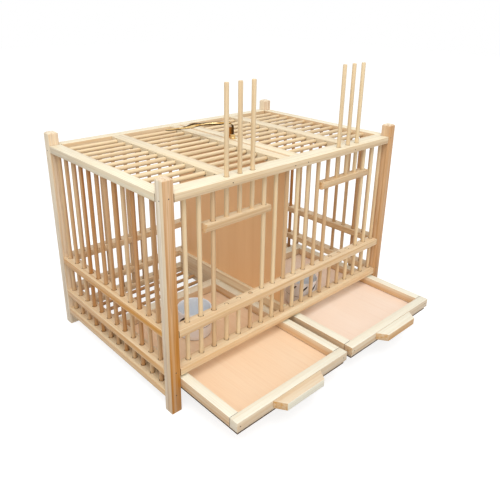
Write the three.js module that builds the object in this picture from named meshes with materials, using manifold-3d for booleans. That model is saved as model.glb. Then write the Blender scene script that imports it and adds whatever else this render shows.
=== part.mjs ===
// Two-compartment cage of square posts, rails and round sticks, with lift doors, trays and a roof hook.
// Millimetres. X runs to the right along the front, Y to the back, Z up from the floor.
import * as THREE from 'three';
import { mergeVertices } from 'three/addons/utils/BufferGeometryUtils.js';
import Module from 'manifold-3d';

const wasm = await Module();
wasm.setup();

// Driving sizes
const cageWidth = 528;
const cageDepth = 350;
const cageHeight = 373;
const postSide = 17.5;
const railTall = 12;
const railWide = 20;
const frontTopRailWide = 28.5;
const stickDia = 7;
const dividerThick = 4;

// Clearances
const seatGap = 0.3; // between pieces that touch
const stickFit = 0.3; // round a stick in the hole that holds it
const guideFit = 0.6; // round a stick in a hole that slides
const trayPlay = 0.7; // beside a tray
const overrun = 5; // how far a cutting tool runs past the wood

// Heights of the rail tops
const postCrown = 22;
const topRailTop = cageHeight - postCrown;
const midRailTop = 141;
const lowerRailTop = 75;
const bottomRailTop = 36;

// Stick rows
const frontStickCount = 19;
const sideStickCount = 12;
const roofStickCount = 12;
const floorStickCount = 12;
const frontEndGap = 24.2; // left post to the first stick's centre
const frontFarGap = 6.3; // last stick's centre to the right post
const sideEndGap = 22.9;
const sideFarGap = 10.1;
const roofEndGap = 6.7;
const roofFarGap = 17.6;
const floorEndGap = 9.9;
const frontRowCover = 3.8; // wood behind the front and back sticks
const sideRowCover = 6.5; // wood behind the side sticks
const floorRowCover = 1.2; // wood above the floor sticks
const socketDeep = 6;
const socketWall = 1.2; // wood between a level socket and the upright ones

const stickRad = stickDia / 2;
const stickSides = 7;
const halfWidth = cageWidth / 2;
const halfDepth = cageDepth / 2;
const postInnerX = halfWidth - postSide;
const postInnerY = halfDepth - postSide;
const railInnerX = halfWidth - railWide;
const railInnerY = halfDepth - railWide;
const frontTopInnerY = halfDepth - frontTopRailWide;
const topRailLow = topRailTop - railTall;
const midRailLow = midRailTop - railTall;
const lowerRailLow = lowerRailTop - railTall;
const bottomRailLow = bottomRailTop - railTall;
const wallStickHigh = topRailLow + socketDeep - seatGap;

// Evenly spaced places from one end stick to the other
function row(count, first, last) {
  return Array.from({ length: count }, (_, i) => first + ((last - first) * i) / (count - 1));
}
const frontRow = row(frontStickCount, -postInnerX + frontEndGap, postInnerX - frontFarGap);
const sideRow = row(sideStickCount, -postInnerY + sideEndGap, postInnerY - sideFarGap);
const roofRow = row(roofStickCount, -frontTopInnerY + roofEndGap, railInnerY - roofFarGap);
const floorPitch = sideRow[1] - sideRow[0];
const floorRow = Array.from({ length: floorStickCount }, (_, i) => -postInnerY + floorEndGap + i * floorPitch);
const backRowY = railInnerY + frontRowCover + stickRad;
const frontRowY = -backRowY;
const sideRowX = railInnerX + sideRowCover + stickRad;

// Places in the front row, counted from the middle stick
const middleStick = (frontStickCount - 1) / 2;
const doorNearStep = 3;
const doorFarStep = 7;
function isLiftPlace(i) {
  const step = Math.abs(i - middleStick);
  return step > doorNearStep && step < doorFarStep;
}

const woodPale = material('#ecd3a4', 0.62, 0);
const woodPost = material('#dcb077', 0.64, 0);
const woodStick = material('#e6c595', 0.6, 0);
const plywood = material('#cf9f68', 0.58, 0);
const trayWood = material('#f0ddb2', 0.62, 0);
const trayPly = material('#eec79c', 0.58, 0);
const china = material('#f3f4f6', 0.12, 0);
const brass = material('#b5893a', 0.3, 1);

function material(color, roughness, metalness) {
  return new THREE.MeshStandardMaterial({ color, roughness, metalness });
}

// Solids for joining and cutting
function solid(geometry) {
  let g = geometry.clone();
  g.deleteAttribute('normal');
  g.deleteAttribute('uv');
  g = mergeVertices(g, stickRad / 1e4);
  return new wasm.Manifold(new wasm.Mesh({
    numProp: 3,
    vertProperties: new Float32Array(g.attributes.position.array),
    triVerts: new Uint32Array(g.index.array),
  }));
}
function geometryOf(shape) {
  const m = shape.getMesh();
  const g = new THREE.BufferGeometry();
  g.setAttribute('position', new THREE.BufferAttribute(new Float32Array(m.vertProperties), 3));
  g.setIndex(new THREE.BufferAttribute(new Uint32Array(m.triVerts), 1));
  return g;
}
const joined = (list) => geometryOf(list.map(solid).reduce((a, b) => a.add(b)));
function cut(body, tools) {
  return geometryOf(tools.map(solid).reduce((a, b) => a.subtract(b), solid(body)));
}

// A box between two corners
function block(x0, x1, y0, y1, z0, z1) {
  const g = new THREE.BoxGeometry(x1 - x0, y1 - y0, z1 - z0);
  return g.translate((x0 + x1) / 2, (y0 + y1) / 2, (z0 + z1) / 2);
}
// Round sticks along Z and along X
function uprightStick(x, y, z0, z1, rad = stickRad) {
  const g = new THREE.CylinderGeometry(rad, rad, z1 - z0, stickSides);
  return g.rotateX(Math.PI / 2).translate(x, y, (z0 + z1) / 2);
}
function levelStick(y, z, x0, x1, rad = stickRad) {
  const g = new THREE.CylinderGeometry(rad, rad, x1 - x0, stickSides);
  return g.rotateZ(Math.PI / 2).translate((x0 + x1) / 2, y, z);
}
// An outline in the XY plane raised from z0 to z1
function raised(outline, z0, z1) {
  const shape = new THREE.Shape(outline.map(([x, y]) => new THREE.Vector2(x, y)));
  return new THREE.ExtrudeGeometry(shape, { depth: z1 - z0, bevelEnabled: false }).translate(0, 0, z0);
}

const cage = new THREE.Group();
function add(name, geometry, look, x = 0, y = 0, z = 0) {
  const mesh = new THREE.Mesh(geometry, look);
  mesh.name = name;
  mesh.position.set(x, y, z);
  cage.add(mesh);
  return mesh;
}

// Posts: square, with the top edges taken off
const postChamfer = 2.4;
function post() {
  const corner = postSide * Math.SQRT1_2;
  const top = (postSide / 2 - postChamfer) * Math.SQRT2;
  const profile = [[0, 0], [corner, 0], [corner, cageHeight - postChamfer], [top, cageHeight], [0, cageHeight]];
  const g = new THREE.LatheGeometry(profile.map(([r, h]) => new THREE.Vector2(r, h)), 4);
  return g.rotateY(Math.PI / 4).rotateX(Math.PI / 2);
}
const postX = halfWidth - postSide / 2;
const postY = halfDepth - postSide / 2;
add('post_front_left', post(), woodPost, -postX, -postY);
add('post_front_right', post(), woodPost, postX, -postY);
add('post_back_left', post(), woodPost, -postX, postY);
add('post_back_right', post(), woodPost, postX, postY);

// A rail from post to post across the front (side -1) or the back (side 1), notched for the side rails
function crossRail(side, wide, low) {
  const endX = postInnerX - seatGap;
  const notchX = railInnerX - seatGap;
  const outer = side * halfDepth;
  const notchY = side * postInnerY;
  const inner = side * (halfDepth - wide);
  const outline = [
    [-endX, outer], [endX, outer], [endX, notchY], [notchX, notchY],
    [notchX, inner], [-notchX, inner], [-notchX, notchY], [-endX, notchY],
  ];
  return raised(side < 0 ? outline : outline.reverse(), low, low + railTall);
}
// A rail from front post to back post on the left (side -1) or the right (side 1)
function sideRail(side, low) {
  const x = [side * halfWidth, side * railInnerX].sort((a, b) => a - b);
  const endY = postInnerY - seatGap;
  return block(x[0], x[1], -endY, endY, low, low + railTall);
}
const holeAt = (x, y, z0, z1, fit = stickFit) => uprightStick(x, y, z0, z1, stickRad + fit);

// Front wall
const frontLong = frontRow.filter((x, i) => !isLiftPlace(i));
const frontLift = frontRow.filter((x, i) => isLiftPlace(i));
function frontTopRail() {
  const low = topRailLow - overrun;
  return cut(crossRail(-1, frontTopRailWide, topRailLow), [
    ...frontLong.map((x) => holeAt(x, frontRowY, low, topRailLow + socketDeep)),
    ...frontLift.map((x) => holeAt(x, frontRowY, low, topRailTop + overrun, guideFit)),
  ]);
}
const lowSeat = lowerRailTop - socketDeep + seatGap;
function frontMiddleComb() {
  const rail = crossRail(-1, railWide, midRailLow);
  const long = frontLong.map((x) => uprightStick(x, frontRowY, lowSeat, wallStickHigh));
  const short = frontLift.map((x) => uprightStick(x, frontRowY, lowSeat, midRailTop - seatGap));
  return joined([rail, ...long, ...short]);
}
function frontLowerRail() {
  const rail = crossRail(-1, railWide, lowerRailLow);
  return cut(rail, frontRow.map((x) => holeAt(x, frontRowY, lowerRailTop - socketDeep, lowerRailTop + overrun)));
}
add('front_top_rail', frontTopRail(), woodPale);
add('front_middle_rail_and_sticks', frontMiddleComb(), woodStick);
add('front_lower_rail', frontLowerRail(), woodPale);

// Back and side walls: sticks run from the top rail down to the bottom rail
const deepSeat = bottomRailTop - socketDeep;
function wallTools(places, low, high) {
  return places.map(([x, y]) => holeAt(x, y, low, high));
}
function wallComb(rail, places) {
  return joined([rail, ...places.map(([x, y]) => uprightStick(x, y, deepSeat + seatGap, wallStickHigh))]);
}
const backPlaces = frontRow.map((x) => [x, backRowY]);
const backRail = (low) => crossRail(1, railWide, low);
add('back_top_rail', cut(backRail(topRailLow),
  wallTools(backPlaces, topRailLow - overrun, topRailLow + socketDeep)), woodPale);
add('back_middle_rail_and_sticks', wallComb(backRail(midRailLow), backPlaces), woodStick);
add('back_lower_rail', cut(backRail(lowerRailLow),
  wallTools(backPlaces, lowerRailLow - overrun, lowerRailTop + overrun)), woodPale);
add('back_bottom_rail', cut(backRail(bottomRailLow),
  wallTools(backPlaces, deepSeat, bottomRailTop + overrun)), woodPale);

// Level sockets in a side rail's inner face for the roof or the floor sticks
const roofStickZ = topRailTop - railTall / 2;
const floorStickZ = bottomRailTop - floorRowCover - stickRad;
const levelSocketDeep = sideRowCover - stickFit - socketWall;
const levelReach = railInnerX + levelSocketDeep - seatGap;
function levelTools(side, places, z) {
  const x = [side * (railInnerX + levelSocketDeep), side * (railInnerX - overrun)].sort((a, b) => a - b);
  return places.map((y) => levelStick(y, z, x[0], x[1], stickRad + stickFit));
}
for (const [hand, side] of [['left', -1], ['right', 1]]) {
  const places = sideRow.map((y) => [side * sideRowX, y]);
  const wallSockets = wallTools(places, topRailLow - overrun, topRailLow + socketDeep);
  add(`${hand}_top_rail`, cut(sideRail(side, topRailLow), [
    ...wallSockets, ...levelTools(side, roofRow, roofStickZ)]), woodPale);
  add(`${hand}_middle_rail_and_sticks`, wallComb(sideRail(side, midRailLow), places), woodStick);
  add(`${hand}_lower_rail`, cut(sideRail(side, lowerRailLow),
    wallTools(places, lowerRailLow - overrun, lowerRailTop + overrun)), woodPale);
}

// Floor: sticks fixed in the left bottom rail run through a board on edge to the right bottom rail
const boardThick = 12;
const boardX = 1;
const dividerX = 4.6;
const dividerGroove = 2;
const footTools = (side) => wallTools(sideRow.map((y) => [side * sideRowX, y]), deepSeat, bottomRailTop + overrun);
function floorComb() {
  const rail = new THREE.BufferGeometry().copy(cut(sideRail(-1, bottomRailLow), footTools(-1)));
  return joined([rail, ...floorRow.map((y) => levelStick(y, floorStickZ, -levelReach, levelReach))]);
}
function centreBoard() {
  const endY = railInnerY - seatGap;
  const board = block(boardX - boardThick / 2, boardX + boardThick / 2, -endY, endY, bottomRailLow, lowerRailTop);
  const reach = boardThick / 2 + overrun;
  const half = dividerThick / 2 + seatGap;
  return cut(board, [
    ...floorRow.map((y) => levelStick(y, floorStickZ, boardX - reach, boardX + reach, stickRad + stickFit)),
    block(dividerX - half, dividerX + half, -endY - overrun, endY + overrun,
      lowerRailTop - dividerGroove, lowerRailTop + overrun),
  ]);
}
add('left_bottom_rail_and_floor_sticks', floorComb(), woodStick);
add('centre_board', centreBoard(), woodPale);
add('right_bottom_rail', cut(sideRail(1, bottomRailLow), [
  ...footTools(1), ...levelTools(1, floorRow, floorStickZ)]), woodPale);

// Roof: on each side of the divider, a crossbar, a centre bar and the sticks that run through them
const centreBarWide = 20.5;
const crossbarWide = 23.5;
const crossbarShares = { left: 0.552, right: 0.593 }; // of the way from the middle to the post
function roofHalf(side, hand) {
  const y0 = -frontTopInnerY + seatGap;
  const y1 = railInnerY - seatGap;
  const slotEdge = dividerX + side * (dividerThick / 2 + seatGap);
  const centreFar = slotEdge + side * centreBarWide;
  const middle = side * crossbarShares[hand] * postInnerX;
  const bars = [[slotEdge, centreFar], [middle - crossbarWide / 2, middle + crossbarWide / 2]].map((ends) => {
    const [x0, x1] = ends.sort((a, b) => a - b);
    return block(x0, x1, y0, y1, topRailLow, topRailTop);
  });
  const barEnd = slotEdge + (side * centreBarWide) / 2;
  const [x0, x1] = [side * levelReach, barEnd].sort((a, b) => a - b);
  return joined([...bars, ...roofRow.map((y) => levelStick(y, roofStickZ, x0, x1))]);
}
add('roof_left_bars_and_sticks', roofHalf(-1, 'left'), woodStick);
add('roof_right_bars_and_sticks', roofHalf(1, 'right'), woodStick);

// Divider: a plywood sheet that stands in the board's groove and is held between the roof's centre bars
const dividerSunk = 1; // top edge below the roof bars' tops
function divider() {
  return block(-dividerThick / 2, dividerThick / 2, -frontTopInnerY + seatGap, railInnerY - seatGap,
    lowerRailTop - dividerGroove + seatGap, topRailTop - dividerSunk);
}
add('divider', divider(), plywood, dividerX);

// Lift doors: a bar that slides on two guide sticks and carries three rods through the top rail
const barLeftShare = 0.8; // of the sticks' spacing, from the left guide to the bar's foot
const barRightShare = 0.45;
const barSlant = 3.5; // how much shorter the bar is at the top, at each end
const barDeep = 17.4;
const barFootDeep = 14.8;
const rodShort = 4; // rods' tops below the roof when the door is down
const rodLong = topRailTop - midRailTop - rodShort;
const raisedShares = { left: 0.734, right: 0.7715 }; // of each door's travel
const doorTravel = topRailLow - midRailTop - railTall;
function doorPlaces(side) {
  const step = (i) => (i - middleStick) * side;
  const near = frontRow.filter((x, i) => step(i) === doorNearStep || step(i) === doorFarStep);
  const lift = frontRow.filter((x, i) => step(i) > doorNearStep && step(i) < doorFarStep);
  return { guides: near, lifts: lift };
}
// Wide at the top, with slanted ends and a front face that leans back
function doorBar(guides) {
  const pitch = frontRow[1] - frontRow[0];
  const x0 = guides[0] - barLeftShare * pitch;
  const x1 = guides[1] + barRightShare * pitch;
  const g = new THREE.BoxGeometry(1, 1, 1);
  const p = g.attributes.position;
  for (let i = 0; i < p.count; i += 1) {
    const foot = p.getZ(i) < 0;
    const front = p.getY(i) < 0;
    const slant = foot ? 0 : barSlant;
    const frontY = barDeep / 2 - (foot ? barFootDeep : barDeep);
    p.setXYZ(i, p.getX(i) < 0 ? x0 + slant : x1 - slant, front ? frontY : barDeep / 2, foot ? 0 : railTall);
  }
  return g;
}
for (const [hand, side] of [['left', -1], ['right', 1]]) {
  const { guides, lifts } = doorPlaces(side);
  const bar = cut(doorBar(guides), [
    ...guides.map((x) => holeAt(x, 0, -overrun, railTall + overrun, guideFit)),
    ...lifts.map((x) => holeAt(x, 0, -overrun, railTall + overrun)),
  ]);
  const low = midRailTop + raisedShares[hand] * doorTravel;
  add(`${hand}_door_bar`, bar, woodPale, 0, frontRowY, low);
  lifts.forEach((x, i) => {
    add(`${hand}_door_rod_${i + 1}`, uprightStick(0, 0, 0, rodLong), woodStick, x, frontRowY, low);
  });
}

// Trays: bars butted at the corners on a board, with a bevelled pull, each pulled out to trayFrontY
const trayBarTall = 16.2;
const trayBoardThick = 6.5;
const trayBarWide = 16;
const trayBackWide = 20;
const trayLong = 337;
const trayOut = 126; // how far the front bar stands out of the front wall
const trayBoardInset = 3;
const pullRootLong = 104;
const pullTipLong = 80;
const pullDeep = 18.5;
const pullTall = 13.5;
const trayBoardLow = floorStickZ + stickRad + seatGap;
const trayBarLow = trayBoardLow + trayBoardThick;
const trayFrontY = -halfDepth - trayOut;
const trayBackY = trayFrontY + trayLong;
function addTray(hand, x0, x1) {
  const z0 = trayBarLow + seatGap;
  const z1 = trayBarLow + trayBarTall;
  const sideY0 = trayFrontY + trayBarWide + seatGap;
  const sideY1 = trayBackY - trayBackWide - seatGap;
  const inset = trayBoardInset;
  add(`${hand}_tray_front_bar`, block(x0, x1, trayFrontY, trayFrontY + trayBarWide, z0, z1), trayWood);
  add(`${hand}_tray_back_bar`, block(x0, x1, trayBackY - trayBackWide, trayBackY, z0, z1), trayWood);
  add(`${hand}_tray_left_bar`, block(x0, x0 + trayBarWide, sideY0, sideY1, z0, z1), trayWood);
  add(`${hand}_tray_right_bar`, block(x1 - trayBarWide, x1, sideY0, sideY1, z0, z1), trayWood);
  add(`${hand}_tray_board`, block(x0 + inset, x1 - inset, trayFrontY + inset, trayBackY - inset,
    trayBoardLow, trayBarLow), trayPly);
  const outline = [[-pullRootLong / 2, 0], [-pullTipLong / 2, -pullDeep], [pullTipLong / 2, -pullDeep],
    [pullRootLong / 2, 0]];
  add(`${hand}_tray_pull`, raised(outline, z1 - pullTall, z1), trayWood, (x0 + x1) / 2, trayFrontY - seatGap);
}
const leftTrayEnd = boardX - boardThick / 2 - trayPlay;
const rightTrayEnd = boardX + boardThick / 2 + trayPlay;
addTray('left', -postInnerX + trayPlay, leftTrayEnd);
addTray('right', rightTrayEnd, postInnerX - trayPlay);

// Cups: turned, on a foot ring, glazed inside and out
const cupRad = 30.5;
const cupTall = 52;
const cupWall = 2.6;
const cupFloor = 4.5;
const cupFootRad = 27.4;
const cupFootWide = 3;
const cupFootTall = 1.4;
const cupHeelRad = 29.8;
const cupHeelTall = 4.6;
const cupSides = 24;
const cupPlay = 0.6; // between the right cup and the front rail
const leftCupAside = 105.4; // left posts' inner face to the cup's centre
const leftCupBack = 51.5; // behind the right cup's place
const rightCupAside = 72; // centre board to the cup's centre
function cup() {
  const inner = cupRad - cupWall;
  const heelInner = cupHeelRad - cupWall;
  const lip = cupWall / 3;
  const profile = [
    [0, cupFootTall], [cupFootRad - cupFootWide, cupFootTall], [cupFootRad - cupFootWide, 0], [cupFootRad, 0],
    [cupFootRad, cupFootTall], [cupHeelRad, cupHeelTall], [cupRad, cupTall - lip], [cupRad - lip, cupTall],
    [inner + lip, cupTall], [inner, cupTall - lip], [heelInner, cupHeelTall + cupFloor],
    [heelInner - cupFloor, cupFootTall + cupFloor], [0, cupFootTall + cupFloor],
  ];
  return new THREE.LatheGeometry(profile.map(([r, h]) => new THREE.Vector2(r, h)), cupSides).rotateX(Math.PI / 2);
}
const cupZ = trayBarLow + seatGap;
const cupFrontY = -railInnerY + cupPlay + cupRad;
add('left_cup', cup(), china, -postInnerX + leftCupAside, cupFrontY + leftCupBack, cupZ);
add('right_cup', cup(), china, boardX + boardThick / 2 + rightCupAside, cupFrontY, cupZ);

// Hook: a plate with a turned boss and an upright tab, and an arm whose headed shank swivels in the boss
const hookInset = 5.6; // roof slot to the shank's centre
const hookY = 3;
const plateLong = 26;
const plateWide = 10.4;
const plateThick = 1.2;
const plateShift = 5.5; // plate's middle behind the shank
const bossRad = 5;
const bossTall = 7.5;
const bossLip = 2;
const shankRad = 2.2;
const headRad = 3.2;
const headTall = 2.6;
const tabWide = 9;
const tabTall = 19;
const tabThick = 1.6;
const tabAside = 1.4;
const tabAway = 8.4;
const tabDegrees = 136; // degrees from +X, seen from above
const hookSides = 10;
function turned(profile, sides) {
  return new THREE.LatheGeometry(profile.map(([r, h]) => new THREE.Vector2(r, h)), sides).rotateX(Math.PI / 2);
}
function hookBase() {
  const plate = block(-plateWide / 2, plateWide / 2, plateShift - plateLong / 2, plateShift + plateLong / 2,
    0, plateThick);
  const cavity = headRad + stickFit;
  const neck = shankRad + stickFit;
  const mouth = plateThick + headTall + 2 * seatGap;
  const boss = turned([[0, 0], [bossRad, 0], [bossRad, bossTall - bossLip], [bossRad - bossLip / 2, bossTall],
    [neck, bossTall], [neck, mouth], [cavity, mouth], [cavity, plateThick], [0, plateThick]], hookSides);
  const tab = block(-tabWide / 2, tabWide / 2, -tabThick / 2, tabThick / 2, 0, tabTall);
  tab.rotateZ(THREE.MathUtils.degToRad(tabDegrees)).translate(tabAside, tabAway, 0);
  return joined([plate, boss, tab]);
}
// The arm's path in its own plane: shares of its reach and of its height above the plate's underside
const armReach = 124;
const armHigh = 28.6;
const armPathShares = [
  [0, 0.73], [0.003, 0.93], [0.04, 1], [0.19, 0.948], [0.384, 0.885],
  [0.503, 0.787], [0.605, 0.696], [0.694, 0.57], [0.815, 0.458], [1, 0.353],
];
const leafShare = 0.605; // of the arm's reach, at the leaf's middle
const leafHighShare = 0.696;
const armHalfWide = 2.6;
const armHalfThick = 2.2;
const leafLong = 36;
const leafHalfWide = 5.4;
const leafHalfThick = 1.7;
const armDegrees = 131.5; // degrees from +X, seen from above
function hookArm() {
  const z0 = plateThick + seatGap;
  const joint = armPathShares[0][1] * armHigh;
  const shank = turned([[0, z0], [headRad, z0], [headRad, z0 + headTall], [shankRad, z0 + headTall],
    [shankRad, joint + shankRad], [0, joint + shankRad]], hookSides);
  const path = armPathShares.map(([along, up]) => new THREE.Vector3(along * armReach, 0, up * armHigh));
  const section = new THREE.Shape();
  section.absellipse(0, 0, armHalfThick, armHalfWide, 0, 2 * Math.PI);
  const arm = new THREE.ExtrudeGeometry(section, {
    steps: 20, extrudePath: new THREE.CatmullRomCurve3(path), curveSegments: 4 });
  const leaf = new THREE.SphereGeometry(1, hookSides, 6);
  leaf.scale(leafLong / 2, leafHalfWide, leafHalfThick).rotateX(Math.PI / 5).rotateY(Math.PI / 12);
  leaf.translate(leafShare * armReach, 0, leafHighShare * armHigh);
  return joined([shank, arm, leaf]).rotateZ(THREE.MathUtils.degToRad(armDegrees));
}
const hookX = dividerX + dividerThick / 2 + seatGap + hookInset;
const hookZ = topRailTop + seatGap;
add('hook_base', hookBase(), brass, hookX, hookY, hookZ);
add('hook_arm', hookArm(), brass, hookX, hookY, hookZ);

// The origin lies on the floor under the middle of the whole outline, trays pulled out
const frontMost = trayFrontY - seatGap - pullDeep;
cage.position.y = -(frontMost + halfDepth) / 2;

export default cage;
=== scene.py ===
import math
import random

import bpy
from mathutils import Matrix, Vector


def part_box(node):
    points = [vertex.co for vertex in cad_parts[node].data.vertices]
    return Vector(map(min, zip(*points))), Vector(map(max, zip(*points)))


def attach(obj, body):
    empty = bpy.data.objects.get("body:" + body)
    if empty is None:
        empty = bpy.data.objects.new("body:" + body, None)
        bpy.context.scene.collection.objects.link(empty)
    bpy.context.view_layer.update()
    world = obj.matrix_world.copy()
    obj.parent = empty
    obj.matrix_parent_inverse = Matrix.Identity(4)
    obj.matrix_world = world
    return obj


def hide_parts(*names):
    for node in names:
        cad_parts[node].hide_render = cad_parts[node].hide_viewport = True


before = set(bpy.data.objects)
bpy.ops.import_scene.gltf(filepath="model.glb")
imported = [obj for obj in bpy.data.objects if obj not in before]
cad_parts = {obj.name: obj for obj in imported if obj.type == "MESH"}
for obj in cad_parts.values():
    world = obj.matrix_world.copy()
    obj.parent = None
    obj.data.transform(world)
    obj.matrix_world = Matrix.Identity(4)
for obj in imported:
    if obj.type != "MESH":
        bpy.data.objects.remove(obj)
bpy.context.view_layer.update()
mm = 0.001
dice = random.Random(11)
print("frame loaded")

# small tools, shared by all the pieces: lengths in millimetres, angles in degrees
bench = {"bevelFrom": 28, "smoothTo": 34, "smoothRound": 50, "facing": 0.9,
         "drillSides": 28, "drillSlack": 0.15, "drillLevel": 0.4, "overrun": 5,
         "pith": (16, 60), "alongShift": 2, "heartwoodAndShadeFrom": 0.5, "heartwoodAndShadeFade": 0.4}
grainOrders = {"x": (1, 2, 0), "y": (2, 0, 1), "z": (0, 1, 2)}  # across, across and along the grain
sideWays = {"front": (0, -1, 0), "back": (0, 1, 0), "left": (-1, 0, 0), "right": (1, 0, 0),
            "up": (0, 0, 1), "down": (0, 0, -1)}
hands = ("left", "right")


def dropSelection():
    bpy.ops.object.select_all(action="DESELECT")


def takeUp(piece):
    dropSelection()
    piece.select_set(True)
    bpy.context.view_layer.objects.active = piece


def settle(piece):  # the place goes into the mesh
    takeUp(piece)
    bpy.ops.object.transform_apply(location=True, rotation=True, scale=True)


def nameAdded(name):
    piece = bpy.context.object
    piece.name = name
    settle(piece)
    return piece


def discard(piece):
    bpy.data.objects.remove(piece, do_unlink=True)


def inMetres(values):
    return [v * mm for v in values]


def middleOf(low, high):
    return [(a + b) / 2 for a, b in zip(low, high)]


def boxOf(node):  # a CAD node's corners in millimetres
    low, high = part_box(node)
    return [v / mm for v in low], [v / mm for v in high]


def nameFor(node):  # front_middle_rail_and_sticks gives frontMiddleRail
    first, *others = node.split("_and_")[0].split("_")
    return first + "".join(word.title() for word in others)


def addBlock(name, low, high):
    dropSelection()
    sides = [(b - a) * mm for a, b in zip(low, high)]
    bpy.ops.mesh.primitive_cube_add(size=1, location=inMetres(middleOf(low, high)), scale=sides)
    return nameAdded(name)


def blockFor(node):  # a block as large as the CAD node, and its corners
    low, high = boxOf(node)
    return addBlock(nameFor(node), low, high), low, high


def enterEdit():
    bpy.ops.object.mode_set(mode="EDIT")


def leaveEdit():
    bpy.ops.object.mode_set(mode="OBJECT")


def startPicking(piece, kind):
    takeUp(piece)
    enterEdit()
    bpy.ops.mesh.select_mode(type=kind)
    bpy.ops.mesh.select_all(action="DESELECT")
    leaveEdit()


def pickFaces(piece, wanted):  # leaves the piece in edit mode with the wanted faces selected
    startPicking(piece, "FACE")
    for face in piece.data.polygons:
        face.select = bool(wanted(face.center / mm, face.normal))
    enterEdit()


def pickEdges(piece, wanted):
    startPicking(piece, "EDGE")
    points = piece.data.vertices
    for edge in piece.data.edges:
        edge.select = bool(wanted(*(points[i].co / mm for i in edge.vertices)))
    enterEdit()


def pickAll(piece):
    takeUp(piece)
    enterEdit()
    bpy.ops.mesh.select_all(action="SELECT")


def facing(side):  # tells the faces that look that way
    return lambda centre, normal: normal.dot(Vector(sideWays[side])) > bench["facing"]


def growFaces(step, centre=None, scale=None):  # extrudes what is selected, then resizes it
    bpy.ops.mesh.extrude_region_move(TRANSFORM_OT_translate={"value": inMetres(step)})
    if scale:
        bpy.ops.transform.resize(value=scale, center_override=inMetres(centre))


def splitAcross(piece, axis, place):  # a new edge round the piece
    pickAll(piece)
    normal = [float(letter == axis) for letter in "xyz"]
    bpy.ops.mesh.bisect(plane_co=[n * place * mm for n in normal], plane_no=normal)
    leaveEdit()


def applyModifier(piece, kind, **settings):
    takeUp(piece)
    modifier = piece.modifiers.new(kind.lower(), kind)
    for key, value in settings.items():
        setattr(modifier, key, value)
    bpy.ops.object.modifier_apply(modifier=modifier.name)


def easeEdges(piece, width, steps=2):
    applyModifier(piece, "BEVEL", width=width * mm, segments=steps, limit_method="ANGLE",
                  angle_limit=math.radians(bench["bevelFrom"]))


def joinAll(pieces, name):
    takeUp(pieces[0])
    for piece in pieces:
        piece.select_set(True)
    if len(pieces) > 1:
        bpy.ops.object.join()
    joined = bpy.context.object
    joined.name = name
    return joined


def copyOf(piece):
    twin = piece.copy()
    twin.data = piece.data.copy()
    bpy.context.collection.objects.link(twin)
    return twin


def drawUp(name, sides, centre, profile):  # a disc drawn up through radius and height pairs
    dropSelection()
    wide, height = profile[0]
    bpy.ops.mesh.primitive_circle_add(vertices=sides, radius=wide * mm, fill_type="NGON",
                                      location=inMetres((*centre[:2], centre[2] + height)))
    piece = nameAdded(name)
    pickAll(piece)
    for nextWide, nextHeight in profile[1:]:
        growFaces((0, 0, nextHeight - height), centre, (nextWide / wide, nextWide / wide, 1))
        wide, height = nextWide, nextHeight
    return piece


def rightWayOut(piece):
    pickAll(piece)
    bpy.ops.mesh.normals_make_consistent(inside=False)
    leaveEdit()


def makeTurned(name, sides, centre, profile):
    piece = drawUp(name, sides, centre, profile)
    leaveEdit()
    rightWayOut(piece)
    return piece


def cutWith(piece, tool):
    applyModifier(piece, "BOOLEAN", object=tool, operation="DIFFERENCE", solver="EXACT")
    discard(tool)


def drill(piece, axis, places, radius, start, stop):  # round holes along x or z
    middle = (start + stop) / 2
    bits = []
    for across, along in places:
        centre = (across, along, middle) if axis == "z" else (middle, across, along)
        dropSelection()
        bpy.ops.mesh.primitive_cylinder_add(
            vertices=bench["drillSides"], radius=radius * mm, depth=(stop - start) * mm,
            location=inMetres(centre), rotation=(0, 0 if axis == "z" else math.pi / 2, 0))
        bits.append(bpy.context.object)
    tool = joinAll(bits, "drill")
    settle(tool)
    cutWith(piece, tool)


def markFaces(piece, slotNumber, wanted):  # gives the wanted faces another of the piece's materials
    for face in piece.data.polygons:
        if wanted(face.center / mm, face.normal):
            face.material_index = slotNumber


def inHoles(axis, places, radius):  # tells the walls of drilled holes
    hole = "xyz".index(axis)
    reach = radius + bench["drillSlack"]

    def found(centre, normal):
        a, b = (centre[k] for k in range(3) if k != hole)
        level = abs(normal[hole]) < bench["drillLevel"]
        return level and any(math.hypot(a - across, b - along) < reach for across, along in places)
    return found


def smoothSides(piece, degrees=bench["smoothTo"]):
    takeUp(piece)
    bpy.ops.object.shade_smooth_by_angle(angle=math.radians(degrees))


def giveGrain(piece, along, pith=bench["pith"]):  # where in its own tree each board was sawn from
    turn = dice.uniform(0, 2 * math.pi)
    far = dice.uniform(*pith) * mm
    shift = (far * math.cos(turn), far * math.sin(turn),
             dice.uniform(-bench["alongShift"], bench["alongShift"]))
    points = piece.data.vertices
    middle = sum((v.co for v in points), Vector()) / len(points)
    layer = piece.data.attributes.new("grain", "FLOAT_VECTOR", "POINT")
    values = []
    for point in points:
        away = point.co - middle
        values += [away[k] + slip for k, slip in zip(grainOrders[along], shift)]
    layer.data.foreach_set("vector", values)


def giveHeartwoodAndShade(piece, shares, everywhere=0.0):  # browning for heartwood and for painted shade on the given sides, which are turned from the light: each side's top and foot share
    mesh = piece.data
    heights = [point.co.z for point in mesh.vertices]
    low, high = min(heights), max(heights)
    values = [everywhere] * len(mesh.loops)
    for face in mesh.polygons:
        for side, (topShare, footShare) in shares.items():
            toward = (face.normal.dot(Vector(sideWays[side])) - bench["heartwoodAndShadeFrom"]) / bench["heartwoodAndShadeFade"]
            toward = min(1.0, max(0.0, toward))
            for spot in face.loop_indices:
                rise = (mesh.vertices[mesh.loops[spot].vertex_index].co.z - low) / (high - low)
                values[spot] = max(values[spot], toward * (footShare + (topShare - footShare) * rise))
    layer = mesh.attributes.new("heart", "FLOAT", "CORNER")
    layer.data.foreach_set("value", values)


def finishPiece(piece, body, node, finishes):
    piece.data.materials.clear()
    for name in finishes:
        piece.data.materials.append(finish[name])
    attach(piece, body)
    if node:
        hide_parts(node)


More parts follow.
